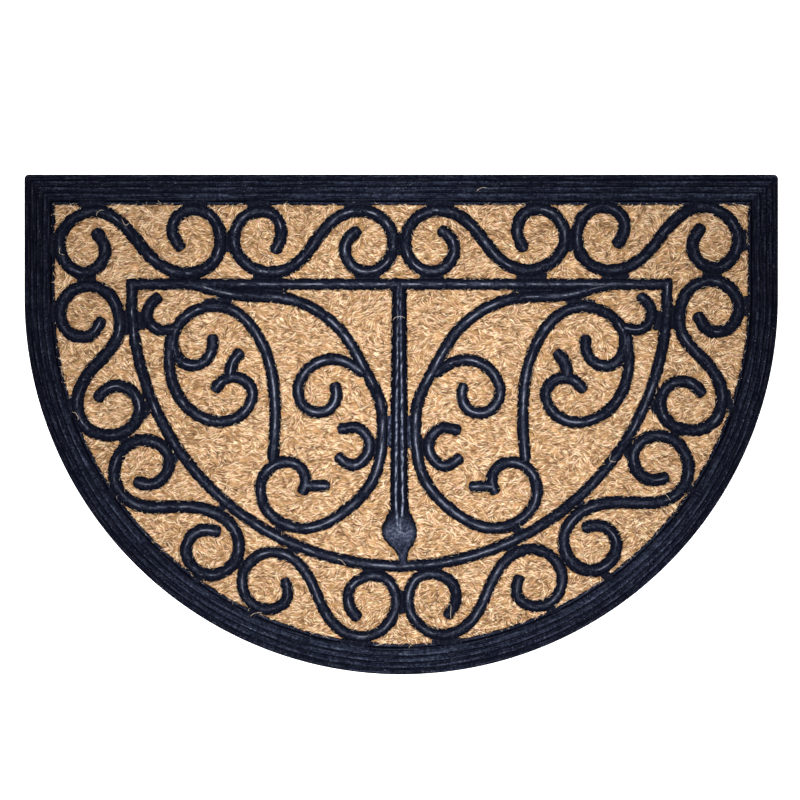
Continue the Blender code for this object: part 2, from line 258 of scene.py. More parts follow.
def tray_section():
    """Inset, height, share of the cutter lines and painted light of the border's section, from the
    outer foot to the lip's inner foot. Each tread is flat behind a rounded riser that stands in a
    narrow groove. The outer foot, the risers and the grooves are painted dark as shade, and each
    tread is painted palest just behind its riser and darker inwards."""
    first = TREAD_PAINTED_LIGHT[0]
    rows = [(0.0, 0.0, 0, 0), (0.0, 4.1, 0, 0.1), (0.12, 4.5, 0, 0.3), (0.4, 4.74, 0, first)]
    ends = [start for start, _ in TREADS[1:]] + [TREADS_END]
    for (start, height), end, bloom in zip(TREADS, ends, TREAD_PAINTED_LIGHT):
        if start:
            rows += [(start - 0.1, height - 1 - GROOVE_DEPTH, 0, 0.1)]
            rows += [(start + 0.2, height - 0.3, 0, 0.06)]
            rows += [(start + 0.42, height, 0, bloom)]
        for share in np.linspace(0, 1, ceil((end - start) / SECTION_STEP)):
            inset = start + 0.75 + share * (end - start - 1.25)
            # Painted light: palest just behind each riser, darker inwards.
            pale = 1.25 if 0 < start and 0.03 < share < 0.25 else 1.0 - 0.35 * share**2
            rows.append((inset, height, 1, bloom * pale))
    rows += [(21.6, 5.9, 0, 0), (21.95, 6.2, 0, 0), (22.3, LIP_HEIGHT, 0, LIP_PAINTED_LIGHT)]
    rows += [(22.9, LIP_HEIGHT, 1, LIP_PAINTED_LIGHT * 1.2), (23.5, LIP_HEIGHT, 0.3, LIP_PAINTED_LIGHT)]
    rows += [(LIP_EDGE, LIP_HEIGHT - 0.35, 0, 0.1), (LIP_EDGE, BACKING_TOP, 0, 0)]
    return np.array(rows).T


def flash(across, down, seed):
    """Width of the squeezed-out edge of rubber at points along a line: FLASH_WIDTH + teeth from
    one point to the next + slower lumps."""
    teeth = np.random.default_rng(seed).normal(0, FLASH_TEETH, np.shape(across))
    lumps = FLASH_LUMPS * wander(across, down, 4, seed + 1)
    return np.clip(FLASH_WIDTH + teeth + lumps, 0.02, 1.5)


rubber = moulded_rubber()
inset, height, lined, bloom = tray_section()[..., None]
across, down = half_round(inset)
run = np.cumsum(np.hypot(*np.diff([across[0], down[0]], axis=1, prepend=0)))
near, far = half_round((LIP_EDGE, LIP_EDGE + 1))
ragged = flash(across[0], down[0], 15) * (inset >= LIP_EDGE)
across, down = across + ragged * (near[1] - near[0]), down + ragged * (far[1] - far[0])
cut = 0.5 - 0.5 * np.cos(2 * pi * inset / CUTTER_PITCH)
scored = lined * cut * np.clip(0.6 + 0.5 * wander(run / 3, inset, 9, 11), 0, 1.4)
streaks = wander(run / 16, inset, 0.8, 12) + 0.5 * wander(run / 5, inset, 0.7, 13)
# Painted light by place: brighter along the bar, darker down the sides, brighter towards the round
# end.
on_bar = down < np.maximum(inset, WIDTH / 2 - np.abs(across)) + 0.01
painted_light_by_place = SIDE_PAINTED_LIGHT + ROUND_PAINTED_LIGHT * (down / DEPTH) ** 2
painted_light_by_place = np.where(on_bar & (down <= LIP_EDGE + 2), BAR_PAINTED_LIGHT, painted_light_by_place)
painted_light_by_place = painted_light_by_place * (1 + 0.05 * wander(across, down, 60, 14))
relief = CUTTER_DEPTH * scored + 0.04 * lined * wander(across, down, 3, 16)
# Painted shade: the treads are painted darker along the cutter lines.
tray_bloom = bloom * painted_light_by_place * np.clip(1 + 0.09 * streaks - 0.35 * scored, 0.1, 2)
tray = make_piece(
    "rubber_tray", [(on_mat(across, down, height - relief), False)], rubber,
    bloom=[tray_bloom], polish=[0.15 * lined * np.clip(streaks, 0, 2)],
)
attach(tray, "root")
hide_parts("rubber_moulding")

# Frame line: the closed inner bead, a bar along the back and a half circle that follows the
# border, a little off its middle. It is pressed with the tray and stands up through slits in the
# coir. Rubber that squeezed out along its foot is left as a thin ragged flash.

FRAME_INSET = 87.25
FRAME_BAR_DROP = -0.5
FRAME_WIDTH = 8.6
FRAME_MOVE = (-1.5, 0.75)
BEAD_UNDER = 5.4
BEAD_CREST = 9.35
FLASH_LEVEL = 6.5
FLASH_EDGE = 6.1
SECTION_ANGLES = np.radians((0, 20, 38, 54, 67, 79, 90, 101, 113, 126, 142, 160, 180))
# Painted highlight along each bead's crest, over the flanks' grey.
CREST_PAINTED_HIGHLIGHT, FLANK_BLOOM, PAINTED_HIGHLIGHT_WIDTH = 0.37, 0.22, 1.5
POLISH_WIDTH = 1.0
# A painted pool of light about the middle, which raises the crests' painted highlight and polish.
PAINTED_POOL_PLACE, PAINTED_POOL_REACH = (0.0, 205.0), 170.0
PAINTED_POOL_LEAST, PAINTED_POOL_MORE = 0.6, 0.75


def bead_section(width, share, left_flash, right_flash):
    """A half-round bead's section at each station: offset -w/2 cos(t) and height
    FLASH_LEVEL + rise sin(t) for t over half a turn, both times the share of full size, then a
    lip of flash on each side that drops to the bead's underside."""
    half = (width * share / 2)[:, None]
    rise = (BEAD_CREST - FLASH_LEVEL) * share[:, None]
    offset = -half * np.cos(SECTION_ANGLES)
    height = FLASH_LEVEL + rise * np.sin(SECTION_ANGLES)
    right = half + right_flash[:, None]
    left = half + left_flash[:, None]
    offset = np.concatenate([-left, -left, offset, right, right], axis=1)
    edge = np.full_like(half, FLASH_EDGE)
    under = np.full_like(half, BEAD_UNDER)
    height = np.concatenate([under, edge, height, edge, under], axis=1)
    return offset, height


def bead_painted_light_and_polish(line, offset, seed):
    """Painted light and polish over a bead's section: a painted highlight along the crest, and the
    satin of a rubbed crest. Both fade from the crest as exp(-(offset/width)^2) and break into
    streaks, lumps up to seven times as long as they are wide. Both are strongest in a painted
    pool of light about the middle: least + more exp(-(distance from its place / its reach)^2)."""
    steps = np.linalg.norm(np.diff(line, axis=0, prepend=line[:1]), axis=1)
    run = np.cumsum(steps)[:, None]
    streaks = wander(run / 7, offset, 0.8, seed) + 0.5 * wander(run / 2.5, offset, 0.7, seed + 1)
    away = np.linalg.norm(line - PAINTED_POOL_PLACE, axis=1, keepdims=True)
    slow = 1 + 0.2 * wander(line[:, :1], line[:, 1:], 22, seed + 2)
    slow = slow * (PAINTED_POOL_LEAST + PAINTED_POOL_MORE * np.exp(-(away / PAINTED_POOL_REACH) ** 2))
    crest = np.exp(-(offset / PAINTED_HIGHLIGHT_WIDTH) ** 2) * np.clip(slow + 0.2 * streaks, 0.15, 2)
    bloom = FLANK_BLOOM + (CREST_PAINTED_HIGHLIGHT - FLANK_BLOOM) * crest
    lit = np.clip(slow - 0.4 + 0.4 * streaks, 0, 1.2)
    return bloom, np.exp(-(offset / POLISH_WIDTH) ** 2) * lit


covers = []  # every raised line of rubber: across, down and half width along it
frame_line, inner_line = np.stack(
    half_round((FRAME_INSET, FRAME_INSET + 1), FRAME_BAR_DROP), axis=-1
)
inward = inner_line - frame_line
frame_line = frame_line + FRAME_MOVE
offset, height = bead_section(
    FRAME_WIDTH, np.ones(len(frame_line)), flash(*frame_line.T, 21), flash(*frame_line.T, 31),
)
bloom, polish = bead_painted_light_and_polish(frame_line, offset, 41)
frame_grid = on_mat(
    frame_line[:, :1] + offset * inward[:, :1], frame_line[:, 1:] + offset * inward[:, 1:], height
)
covers.append((*frame_line.T, np.full(len(frame_line), FRAME_WIDTH / 2)))
frame_bead = make_piece("frame_line", [(frame_grid, True)], rubber, bloom=[bloom], polish=[polish])
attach(frame_bead, "root")
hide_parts("rubber_moulding")

# Scrolls: the S-shaped beads that roll around the border and the leafy ones inside the frame.
# Half-round beads of the same pressing, with rounded ends like fingertips. They are drawn for
# the left half, and each is set by its own lie in the mould's two halves.

SCROLLS = {  # bead width, then a knot for each turn of the curve (across, down)
    "corner": (9.5, (
        (-242.5, 47), (-235.7, 61), (-240, 72.5), (-252, 78.8), (-269.5, 67), (-271, 50),
        (-257.5, 34), (-240, 30.3), (-220.5, 42), (-212, 51.5), (-200, 66), (-175, 79),
        (-152, 72), (-144.5, 52), (-152, 34), (-168, 29), (-181, 38), (-181.5, 50), (-176.5, 58),
    )),
    "top": (9.5, (
        (-99.5, 60.5), (-95, 48), (-101, 33), (-115, 30), (-130, 41), (-132, 59), (-118, 75),
        (-98, 78.3), (-80, 69), (-61, 45), (-44, 31.7), (-24, 30.7), (-9, 42), (-5.5, 58),
        (-14, 74), (-30, 78), (-43, 67), (-43, 54), (-35, 46),
    )),
    "side": (9.5, (
        (-238.5, 115.5), (-246.5, 126.5), (-262, 126), (-271, 111), (-266, 95), (-250, 87),
        (-232.3, 93), (-223.6, 112), (-223.4, 124), (-230.6, 138), (-245.5, 154), (-257, 178),
        (-250, 201), (-232, 207.5), (-214, 201), (-207, 184), (-215, 171), (-230, 168.5),
        (-240.3, 177),
    )),
    "lower": (9.5, (
        (-210, 244), (-200, 246), (-187, 238), (-184.9, 222), (-197, 211), (-216, 213),
        (-228, 230), (-226, 249), (-211, 262), (-190, 264.5), (-158, 266.3), (-138, 276.5),
        (-128.7, 294), (-134.5, 312.5), (-153, 320.2), (-168, 311), (-170.5, 294), (-159, 284),
        (-146.5, 285),
    )),
    "bottom": (8.5, (
        (-91.5, 323.5), (-90.3, 336.5), (-105, 345.5), (-121, 338), (-126, 321), (-114, 303),
        (-97, 300), (-81, 309), (-65.8, 335), (-49, 360), (-30, 366.5), (-11, 357.5), (-3.4, 338),
        (-11.6, 320.6), (-28, 319), (-41, 330), (-39.5, 344), (-35, 350.5),
    )),
    "swoop": (8.8, (
        (-167, 87.3), (-151, 91.8), (-135, 95.8), (-105, 97.8), (-85, 100.8), (-63, 111),
        (-44.5, 128), (-28, 156), (-15.8, 182), (-14, 207), (-20.8, 242), (-44, 268.5), (-75, 282),
        (-103, 271), (-111, 252), (-105.3, 236), (-93, 229.4), (-80, 233), (-75, 246), (-77, 252),
    )),
    "branch": (8.8, (
        (-28, 160), (-41, 150), (-58, 147.6), (-74, 156), (-81.5, 173), (-73, 188), (-57, 188),
        (-50, 175), (-50.5, 170),
    )),
    "hook": (8.8, (
        (-48, 203), (-36, 201), (-26, 209), (-26, 223), (-37, 232), (-48.5, 226.3),
    )),
    "stem": (8.8, (
        (-104, 232), (-101, 210), (-99.8, 180), (-103.6, 150), (-116.5, 122), (-130, 109),
        (-150, 104.5), (-170, 112), (-180, 125), (-181, 138), (-172, 151), (-157, 150),
        (-149, 138), (-148.5, 131),
    )),
    "leaf": (8.8, (
        (-183, 128), (-184.4, 150), (-174, 180), (-158, 193), (-138, 196), (-121, 185),
        (-117.8, 170), (-128, 161), (-141, 163), (-147, 169),
    )),
    "crown": (9.6, ((-136, 160), (-135, 154), (-133, 149), (-128.7, 144))),
    "tendril": (8.8, ((-181, 123), (-190, 124.5), (-201, 116), (-199, 104), (-194, 99))),
    "stub": (8.4, ((-75, 248.2), (-59.5, 248.2))),
}
LIE = {  # size, then for the left and the right copy a move across and down and a turn in degrees
    "corner": (1.005, (0.5, -0.5, 0.0), (-4.5, -3.5, 1.0)),
    "top": (0.995, (-0.5, -0.5, 0.0), (-2.5, -1.5, 1.0)),
    "side": (0.985, (-0.5, 1.0, 0.0), (-2.0, -3.0, 0.5)),
    "lower": (0.98, (0.0, 0.0, -1.0), (0.0, -3.5, -1.0)),
    "bottom": (1.0, (-0.5, 1.0, 0.5), (2.0, -1.0, 1.0)),
    "swoop": (1.0, (-1.0, -0.5, 0.0), (-2.5, -0.5, -0.5)),
    "branch": (0.96, (-2.0, -0.5, -5.5), (-1.5, 0.0, -6.0)),
    "hook": (0.97, (-0.5, 0.0, 4.0), (-3.0, 0.5, 2.0)),
    "stem": (0.96, (-1.0, -1.5, -3.0), (-2.5, -1.0, -3.0)),
    "leaf": (0.98, (-0.5, 1.0, -0.5), (-3.0, 1.5, -0.5)),
    "crown": (1.0, (0.0, -1.5, 0.0), (-4.0, -1.0, 0.0)),
    "tendril": (1.0, (-0.5, -0.5, 2.0), (-2.5, -1.0, 2.0)),
    "stub": (1.0, (-0.5, -0.5, 0.0), (-2.5, 0.0, 0.0)),
}
BAND = ("corner", "top", "side", "lower", "bottom")
STATION_STEP = 1.9
TIP_REACH = 3.6
TIP_ROUND = 0.46
TIP_TURNS = np.radians((4, 16, 30, 46, 62, 78))
PROBE = 0.05


def settle(name, side, points):
    """Points drawn with a scroll, as its left (side 1) or right (side -1) copy lies: turned and
    scaled about the middle of its knots, mirrored for the right, then moved."""
    size, *copies = LIE[name]
    move_across, move_down, turn_deg = copies[0 if side == 1 else 1]
    turn = radians(turn_deg)
    middle = np.mean(SCROLLS[name][1], axis=0)
    spin = size * np.array([[cos(turn), sin(turn)], [-sin(turn), cos(turn)]])
    return ((points - middle) @ spin + middle) * (side, 1) + (move_across, move_down)


def smooth_line(knots):
    """A natural cubic spline through the knots, by chord length, as a function of distance."""
    points = np.array(knots, float)
    if len(points) == 2:
        length = np.linalg.norm(points[1] - points[0])
        return lambda s: points[0] + (points[1] - points[0]) * s[:, None] / length, length
    at = np.concatenate([[0.0], np.cumsum(np.linalg.norm(np.diff(points, axis=0), axis=1))])
    gap = np.diff(at)
    inner = np.arange(1, len(points) - 1)
    matrix = np.eye(len(points))
    right = np.zeros_like(points)
    matrix[inner, inner - 1] = gap[:-1]
    matrix[inner, inner] = 2 * (gap[:-1] + gap[1:])
    matrix[inner, inner + 1] = gap[1:]
    right[inner] = 6 * np.diff(np.diff(points, axis=0) / gap[:, None], axis=0)
    bend = np.linalg.solve(matrix, right)

    def place(s):
        i = np.clip(np.searchsorted(at, s, side="right") - 1, 0, len(gap) - 1)
        before, after, h = (s - at[i])[:, None], (at[i + 1] - s)[:, None], gap[i][:, None]
        curved = (bend[i] * after**3 + bend[i + 1] * before**3) / (6 * h)
        return curved + (points[i] / h - bend[i] * h / 6) * after + (
            points[i + 1] / h - bend[i + 1] * h / 6
        ) * before

    return place, at[-1]


def scroll(name, side, seed):
    """A bead carried along its line: place + normal x offset, run on straight past both end
    knots. The share of full size is sin(t) where the distance from the tip is r (1 - cos(t))."""
    width, knots = SCROLLS[name]
    place, length = smooth_line(settle(name, side, knots))
    round_off = TIP_ROUND * width * (1 - np.cos(TIP_TURNS))
    first, last = round_off[-1] - TIP_REACH, length + TIP_REACH - round_off[-1]
    middle = np.linspace(first, last, ceil((last - first) / STATION_STEP) + 1)[1:-1]
    s = np.concatenate([round_off - TIP_REACH, middle, (length + TIP_REACH - round_off)[::-1]])
    share = np.sin(TIP_TURNS)
    share = np.concatenate([share, np.ones(len(middle)), share[::-1]])
    on_line = np.clip(s, 0, length)
    heading = place(np.minimum(on_line + PROBE, length)) - place(np.maximum(on_line - PROBE, 0))
    heading /= np.linalg.norm(heading, axis=1, keepdims=True)
    line = place(on_line) + (s - on_line)[:, None] * heading
    sway = 1 + 0.02 * wander(line[:, 0], line[:, 1], 14, seed)
    offset, height = bead_section(
        width * sway, share, flash(*line.T, seed + 1), flash(*line.T, seed + 3)
    )
    bloom, polish = bead_painted_light_and_polish(line, offset, seed + 5)
    across = line[:, :1] - heading[:, 1:] * offset
    down = line[:, 1:] + heading[:, :1] * offset
    covers.append((*line.T, width / 2 * share))
    return on_mat(across, down, height), bloom, polish


for group in ("band_scrolls", "inner_scrolls"):
    beads = [
        scroll(name, side, 100 + 20 * row + 10 * side)
        for row, name in enumerate(SCROLLS) for side in (1, -1)
        if (name in BAND) == (group == "band_scrolls")
    ]
    piece = make_piece(
        group, [(grid, False) for grid, *_ in beads], rubber,
        bloom=[bloom for _, bloom, _ in beads], polish=[polish for *_, polish in beads],
    )
    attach(piece, "root")
    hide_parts("rubber_moulding")

# Centre post: a bar with two ridges and a valley between them, from the frame's back bar down
# to a swollen finial that tapers to the frame line. Pressed with the rest, with its ridges
# rubbed to a satin and painted with highlights, and dust caught on the finial's flat dome.

POST_ROWS = np.array((  # down, across to its middle, half width, half between the ridges, shown
    (86.0, -1.6, 5.6, 1.1, 0.36), (110.0, -1.6, 5.9, 1.2, 0.5), (150.0, -1.6, 6.2, 1.6, 0.6),
    (185.0, -1.6, 6.5, 2.1, 0.85), (220.0, -1.6, 6.7, 2.4, 1.0), (262.0, -1.5, 7.0, 2.7, 0.9),
    (268.0, -1.5, 7.7, 2.3, 0.9), (272.0, -1.5, 9.2, 2.0, 0.75), (278.0, -1.5, 13.2, 1.2, 0.45),
    (285.0, -1.5, 14.5, 0.8, 0.0), (292.0, -0.8, 11.6, 0.8, 0.0), (298.0, 0.4, 6.0, 0.8, 0.0),
    (302.0, 1.1, 3.5, 0.8, 0.0), (311.0, 1.4, 3.1, 0.8, 0.0),
))
POST_STEP = 1.3
POST_SMOOTH = 9
POST_ACROSS = np.linspace(-1, 1, 33)
RIDGE_RISE = 0.3
RIDGE_WIDTH, RIDGE_WEAR_WIDTH = 0.85, 0.95
RIDGE_PAINTED_HIGHLIGHT, FINIAL_BLOOM, POST_FLANK_BLOOM = 0.92, 0.5, 0.14

fine = np.arange(POST_ROWS[0, 0], POST_ROWS[-1, 0], POST_STEP / 2)
eased = [
    np.pad(np.interp(fine, POST_ROWS[:, 0], column), POST_SMOOTH // 2, "edge")
    for column in POST_ROWS.T[1:]
]
eased = [np.convolve(column, np.ones(POST_SMOOTH) / POST_SMOOTH, "valid") for column in eased]
down, middle, half, ridge, shown = np.array([fine, *eased])[:, ::2, None]
across = half * POST_ACROSS
away = np.abs(across) - ridge
crease = shown * np.exp(-(away / RIDGE_WIDTH) ** 2)
dome = np.sqrt(1 - np.abs(POST_ACROSS) ** 2.6)
rise = (1 - RIDGE_RISE) * dome + RIDGE_RISE * (crease + (1 - shown) * dome)
height = FLASH_LEVEL + (CREST - FLASH_LEVEL) * rise
edge = half + flash(down, down, 45)
streaks = wander(down / 5, across, 0.8, 46)
lit = shown * np.exp(-(away / RIDGE_WEAR_WIDTH) ** 2) * np.clip(0.85 + 0.4 * streaks, 0.2, 1.6)
finial = (1 - shown) * np.clip(1.3 * (1 - np.abs(POST_ACROSS) ** 4), 0, 1)
finial = finial * np.interp(down, (262, 272, 284, 289, 296), (0, 1, 1, 0.8, 0.55))
# Painted highlights along the ridges, and dust on the finial.
post_bloom = POST_FLANK_BLOOM + RIDGE_PAINTED_HIGHLIGHT * lit + FINIAL_BLOOM * finial
post_polish = np.clip(lit, 0, 1) + 0.25 * finial
across = middle + np.concatenate([-edge, -edge, across, edge, edge], axis=1)
low_edge, under = np.full_like(half, FLASH_EDGE), np.full_like(half, BEAD_UNDER)
height = np.concatenate([under, low_edge, height, low_edge, under], axis=1)
covers.append((middle[:, 0], down[:, 0], half[:, 0]))
margin = ((0, 0), (2, 2))
post = make_piece(
    "centre_post", [(on_mat(across, down, height), False)], rubber,
    bloom=[np.pad(post_bloom, margin, "edge")], polish=[np.pad(post_polish, margin)],
)
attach(post, "root")
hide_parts("rubber_moulding")

# Webs: flat fillets of rubber where two beads, or a bead and the border, come together.
# The same pressing: the mould is open there, so the rubber fills the narrow wedges and ends
# in a ragged edge on the coir.

WEBS = {  # across, down, heading in degrees from the straight edge and half length, by scroll
    "corner": (
        (-246.0, 24.3, 0, 11), (-276.0, 57.0, 90, 9), (-251.0, 83.0, 0, 8), (-165.0, 24.0, 0, 10),
        (-174.0, 83.4, 0, 11), (-138.8, 55.0, 90, 8),
    ),
    "top": (
        (-113.0, 24.3, 0, 9), (-106.0, 83.0, 0, 12), (-34.0, 24.5, 0, 11), (-26.0, 82.8, 0, 10),
    ),
    "side": (
        (-276.0, 108.0, 90, 8), (-218.2, 116.0, 90, 10), (-262.5, 184.0, 108, 10),
        (-201.5, 186.0, 114, 8), (-220.5, 210.0, 28, 8),
    ),
    "lower": (
        (-180.5, 226.0, 126, 9), (-230.5, 252.0, 124, 10), (-143.0, 267.5, 140, 9),
        (-161.5, 322.5, 144, 10), (-128.5, 310.5, 64, 8),
    ),
    "bottom": (
        (-87.0, 299.0, 157, 12), (-116.0, 347.2, 155, 11), (-34.0, 371.6, 173, 12),
        (-22.0, 314.5, 174, 9),
    ),
    "swoop": ((-95.0, 282.5, 153, 11), (-8.2, 205.5, 90, 12.5), (-120.0, 92.4, 0, 30)),
    "hook": ((-19.2, 216.0, 90, 7),),
    "stem": ((-207.2, 113.0, 90, 8), (-143.0, 100.7, 175, 12)),
}
MIDDLE_WEBS = ((-1.5, 56.0, 90, 8), (0.4, 340.5, 90, 9))
WEB_HALF_WIDTH = 3.6
WEB_TOP = 7.1
WEB_BLOOM, MIDDLE_DUST_AND_PAINTED_LIGHT, MIDDLE_BAND = 0.24, 0.34, (8.5, 3.0)
WEB_AROUND = np.linspace(0, 2 * pi, 56, endpoint=False)
WEB_RINGS = (  # share of the plate's size, height
    (1.0, BEAD_UNDER), (1.0, WEB_TOP - 0.35), (0.9, WEB_TOP), (0.6, WEB_TOP), (0.3, WEB_TOP),
)


def web_ends(across, down, heading, half_length):
    """The two ends of a web's middle line, as drawn."""
    reach = np.array((cos(radians(heading)), sin(radians(heading)))) * half_length
    return np.array([(across, down) - reach, (across, down) + reach])


def web(ends):
    """A flat plate along the line between its two ends, with a nearly square outline, cos and sin
    each to the power 0.3, and ragged teeth. Its rings step in and up to a rounded rim. Its
    outline and its middle line join the covers."""
    middle, along = ends.mean(axis=0), (ends[1] - ends[0]) / 2
    aside = np.array((-along[1], along[0])) / np.linalg.norm(along) * WEB_HALF_WIDTH
    box = np.stack([np.cos(WEB_AROUND), np.sin(WEB_AROUND)], axis=1)
    box = np.sign(box) * np.abs(box) ** 0.3
    reach = box[:, :1] * along + box[:, 1:] * aside
    reach = reach * (1 + 0.055 * wander(*(middle + reach).T, 1.1, 51))[:, None]
    covers.append((*(middle + reach[::2]).T, np.full(len(reach[::2]), 0.2)))
    spine = middle + np.linspace(-1, 1, 12)[:, None] * along * 0.8
    covers.append((*spine.T, np.full(len(spine), WEB_HALF_WIDTH - 0.4)))
    return np.stack([on_mat(*(middle + reach * scale).T, level) for scale, level in WEB_RINGS])


plates = [web(web_ends(*row)) for row in MIDDLE_WEBS] + [
    web(settle(name, side, web_ends(*row)))
    for name in WEBS for row in WEBS[name] for side in (1, -1)
]
# The webs beside the post are painted paler, with more dust specks: dust, and painted light where
# the light is brightest.
beside_post = [
    np.exp(-((np.abs(grid[..., 0]) / MM - MIDDLE_BAND[0]) / MIDDLE_BAND[1]) ** 2)
    * np.clip(0.9 + 0.6 * wander(*grid[..., :2].T / MM, 1.3, 52).T, 0, 2) for grid in plates
]
webs = make_piece(
    "webs", [(grid, False) for grid in plates], rubber,
    bloom=[WEB_BLOOM + MIDDLE_DUST_AND_PAINTED_LIGHT * specks_and_painted_light for specks_and_painted_light in beside_post],
    polish=[np.full(grid.shape[:2], 0.1) for grid in plates],
)
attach(webs, "root")
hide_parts("rubber_moulding")

# Coir mat: one half-round sheet of pressed coconut fibre that fills the tray.
# It shows between the beads, where the fibres stand in soft tufts, and is squeezed down along
# the rubber that was moulded through it.

coir_low, coir_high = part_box("coir_mat")
COIR_INSET = LIP_EDGE + 0.3
COIR_UNDER = coir_low.z / MM
PRESSED_UNDER, PRESSED, FREE = 5.2, 5.8, 6.9
FREE_FROM = 2.4
TUFT_RISE = 0.6
TUFT_SIZE = (10.0, 5.6)
TUFT_EDGE = 2.5
TUFT_CELLS = 90
SHEET_STEP = 2.6
SHEET_END = 8.0
CELL = 0.8  # of a raster that holds the distance from each point of the mat to the covers
WINDOW = 17

cells = np.full((int(WIDTH / CELL) + 2, int(DEPTH / CELL) + 2), np.inf)
window = np.arange(-WINDOW, WINDOW + 1)
for across, down, half in covers:
    column = np.rint((across + WIDTH / 2) / CELL).astype(int)[:, None, None] + window[:, None]
    row = np.rint(down / CELL).astype(int)[:, None, None] + window
    column = np.clip(column, 0, cells.shape[0] - 1)
    row = np.clip(row, 0, cells.shape[1] - 1)
    away = np.hypot(
        column * CELL - WIDTH / 2 - across[:, None, None], row * CELL - down[:, None, None]
    )
    np.minimum.at(cells, (column, row), away - half[:, None, None])
cells = np.minimum(cells, WINDOW * CELL)


def beside_beads(across, down):
    """Distance to the nearest raised line, read between four cells of the raster. It is
    negative on the rubber."""
    x = np.clip((across + WIDTH / 2) / CELL, 0, cells.shape[0] - 1.001)
    y = np.clip(down / CELL, 0, cells.shape[1] - 1.001)
    i, j = x.astype(int), y.astype(int)
    u, v = x - i, y - j
    near = (cells[i, j] * (1 - u) + cells[i + 1, j] * u) * (1 - v)
    return near + (cells[i, j + 1] * (1 - u) + cells[i + 1, j + 1] * u) * v


def inside_lip(across, down):
    """Distance in from the border's lip. It is negative on the border."""
    sideways = np.where(down < SIDE, np.abs(across), np.hypot(across, down - SIDE))
    return np.minimum(WIDTH / 2 - sideways, down) - LIP_EDGE


def clear_of_rubber(across, down):
    """Distance to the nearest raised line or to the lip, whichever is less."""
    return np.minimum(
        beside_beads(across, down), inside_lip(across, down) + 0.4 * wander(across, down, 2.5, 61)
    )


tuft_draws = np.random.default_rng(71).random((TUFT_CELLS, TUFT_CELLS, 5))


def tufts(across, down):
    """The tuft that each point belongs to, as its random numbers, and the distance from the
    point to the seam with the next tuft. Tuft centres stand one to a cell of a jittered grid."""
    across, down = np.broadcast_arrays(across + WIDTH / 2, down)
    i = np.floor(across / TUFT_SIZE[0]).astype(int)
    j = np.floor(down / TUFT_SIZE[1]).astype(int)
    nearest = np.full(across.shape, np.inf)
    second = nearest.copy()
    chosen = np.zeros(across.shape + (5,))
    for di in (-1, 0, 1):
        for dj in (-1, 0, 1):
            draw = tuft_draws[(i + di) % TUFT_CELLS, (j + dj) % TUFT_CELLS]
            away = np.hypot(
                (i + di + draw[..., 0]) * TUFT_SIZE[0] - across,
                (j + dj + draw[..., 1]) * TUFT_SIZE[1] - down,
            )
            closer = away < nearest
            second = np.where(closer, nearest, np.minimum(second, away))
            nearest = np.where(closer, away, nearest)
            chosen[closer] = draw[closer]
    return chosen, (second - nearest) / 2


def coir_top(across, down):
    """Height of the pressed coir: from under a bead up to FREE over the first FREE_FROM mm,
    domed a little over each tuft, with fine lumps."""
    gap = clear_of_rubber(across, down)
    base = np.interp(gap, (-1.2, 0.2, FREE_FROM), (PRESSED_UNDER, PRESSED, FREE))
    _, seam = tufts(across, down)
    loose = np.clip(gap / FREE_FROM, 0, 1)
    dome = TUFT_RISE * np.clip(seam / TUFT_EDGE, 0, 1) - TUFT_RISE / 2
    return base + loose * (dome + 0.16 * wander(across, down, 2.2, 62))


def coir_finish(name, colours, grain, along, flecked):
    """Dry brown coir, matt and hairy: the fibre's "tone" runs through the colours, dark to pale,
    and patches lean to pink or straw. The tone carries painted shade as well as the coir's own
    colour. Flecks of `grain` mm, stretched by `along` across the mat, shift the tone by as much
    as `flecked` and roughen the face. The sheet's are coarser than its fibres, to show."""
    material = bpy.data.materials.new(name)
    material.use_nodes = True
    tree = material.node_tree
    place = add_node(tree, "ShaderNodeTexCoord").outputs["Object"]
    tone = add_node(tree, "ShaderNodeAttribute", attribute_name="tone").outputs["Fac"]
    stretched = add_node(tree, "ShaderNodeMapping", {
        "Vector": place, "Scale": (1 / along, 1.0, 1.0), "Rotation": (0.0, 0.0, radians(4)),
    })
    fleck = add_node(tree, "ShaderNodeTexNoise", {
        "Vector": stretched.outputs["Vector"], "Scale": 1 / (grain * MM), "Detail": 3.0,
        "Roughness": 0.6, "Distortion": 0.3,
    })
    centred = add_node(tree, "ShaderNodeMath", {0: fleck.outputs["Fac"], 1: 0.5},
                       operation="SUBTRACT")
    shifted = add_node(tree, "ShaderNodeMath", {
        0: centred.outputs["Value"], 1: 2.0 * flecked, 2: tone,
    }, operation="MULTIPLY_ADD")
    ramp = add_node(tree, "ShaderNodeValToRGB", {"Fac": shifted.outputs["Value"]})
    stops = ramp.color_ramp.elements
    for number, colour in enumerate(colours):
        at = number / (len(colours) - 1)
        stop = stops[number] if number < 2 else stops.new(at)
        stop.position = at
        stop.color = linear(colour)
    patch = add_node(tree, "ShaderNodeTexNoise", {
        "Vector": place, "Scale": 1 / (3.5 * MM), "Detail": 2.0, "Roughness": 0.5,
    })
    lean = add_node(tree, "ShaderNodeMapRange", {
        "Value": patch.outputs["Fac"], "From Min": 0.35, "From Max": 0.65,
    })
    cast = add_node(tree, "ShaderNodeMix", {
        "Factor": lean.outputs["Result"], "A": linear("FCF0EC"), "B": linear("FBFFF0"),
    }, data_type="RGBA")
    mixed = add_node(tree, "ShaderNodeMix", {
        "Factor": 1.0, "A": ramp.outputs["Color"], "B": cast.outputs["Result"],
    }, data_type="RGBA", blend_type="MULTIPLY")
    bump = add_node(tree, "ShaderNodeBump", {
        "Height": fleck.outputs["Fac"], "Strength": 0.5, "Distance": 0.4 * MM,
    })
    join_inputs(tree, tree.nodes["Principled BSDF"], {
        "Base Color": mixed.outputs["Result"], "Roughness": 0.9, "Specular IOR Level": 0.2,
        "Normal": bump.outputs["Normal"],
    })
    return material


